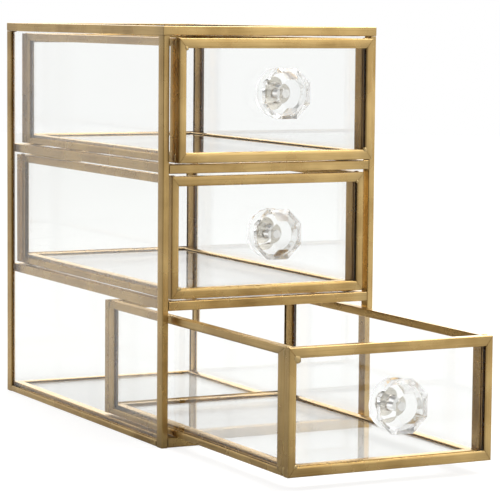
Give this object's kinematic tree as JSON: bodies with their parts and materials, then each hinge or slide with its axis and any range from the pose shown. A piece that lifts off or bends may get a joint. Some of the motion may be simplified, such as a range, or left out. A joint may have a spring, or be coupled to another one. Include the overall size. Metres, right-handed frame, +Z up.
{
  "type": "glass drawer organizer",
  "caption": "Countertop organizer: a glass cabinet in brass channel with glass drawers that slide out on shelves, each with a clear faceted knob.",
  "frame": {"origin": "middle of the cabinet's front bottom edge, on the surface it stands on", "axes": "+X to the right seen from the front, +Y from the front to the back, +Z up; drawers open along -Y"},
  "size_m": [0.1154, 0.3323, 0.201],
  "materials": {
    "brass_channel": "brushed",
    "sheet_glass": "clear",
    "knob_acrylic": "clear, cut facets",
    "fastener": "nickel plated"
  },
  "bodies": {
    "cabinet": {"back_pane": "sheet_glass", "back_sill": "brass_channel", "floor_frame": "brass_channel", "floor_pane": "sheet_glass", "front_left_post": "brass_channel", "front_right_post": "brass_channel", "left_side_pane": "sheet_glass", "left_sill": "brass_channel", "lower_shelf_frame": "brass_channel", "lower_shelf_pane": "sheet_glass", "rear_left_post": "brass_channel", "rear_right_post": "brass_channel", "right_side_pane": "sheet_glass", "right_sill": "brass_channel", "top_frame": "brass_channel", "top_pane": "sheet_glass", "upper_shelf_frame": "brass_channel", "upper_shelf_pane": "sheet_glass"},
    "top_drawer": {"top_drawer_base_frame": "brass_channel", "top_drawer_base_pane": "sheet_glass", "top_drawer_front_frame": "brass_channel", "top_drawer_front_pane": "sheet_glass", "top_drawer_knob": "knob_acrylic", "top_drawer_knob_screw": "fastener", "top_drawer_knob_washer": "fastener", "top_drawer_left_frame": "brass_channel", "top_drawer_left_pane": "sheet_glass", "top_drawer_rear_frame": "brass_channel", "top_drawer_rear_pane": "sheet_glass", "top_drawer_right_frame": "brass_channel", "top_drawer_right_pane": "sheet_glass"},
    "middle_drawer": {"middle_drawer_base_frame": "brass_channel", "middle_drawer_base_pane": "sheet_glass", "middle_drawer_front_frame": "brass_channel", "middle_drawer_front_pane": "sheet_glass", "middle_drawer_knob": "knob_acrylic", "middle_drawer_knob_screw": "fastener", "middle_drawer_knob_washer": "fastener", "middle_drawer_left_frame": "brass_channel", "middle_drawer_left_pane": "sheet_glass", "middle_drawer_rear_frame": "brass_channel", "middle_drawer_rear_pane": "sheet_glass", "middle_drawer_right_frame": "brass_channel", "middle_drawer_right_pane": "sheet_glass"},
    "bottom_drawer": {"bottom_drawer_base_frame": "brass_channel", "bottom_drawer_base_pane": "sheet_glass", "bottom_drawer_front_frame": "brass_channel", "bottom_drawer_front_pane": "sheet_glass", "bottom_drawer_knob": "knob_acrylic", "bottom_drawer_knob_screw": "fastener", "bottom_drawer_knob_washer": "fastener", "bottom_drawer_left_frame": "brass_channel", "bottom_drawer_left_pane": "sheet_glass", "bottom_drawer_rear_frame": "brass_channel", "bottom_drawer_rear_pane": "sheet_glass", "bottom_drawer_right_frame": "brass_channel", "bottom_drawer_right_pane": "sheet_glass"}
  },
  "joints": [
    {"name": "top_drawer_slide", "type": "slide", "parent": "cabinet", "child": "top_drawer", "axis": [0, -1, 0], "range_m": [-0.0081, 0.1435]},
    {"name": "middle_drawer_slide", "type": "slide", "parent": "cabinet", "child": "middle_drawer", "axis": [0, -1, 0], "range_m": [-0.0006, 0.151]},
    {"name": "bottom_drawer_slide", "type": "slide", "parent": "cabinet", "child": "bottom_drawer", "axis": [0, -1, 0], "range_m": [-0.1197, 0.0319]}
  ]
}
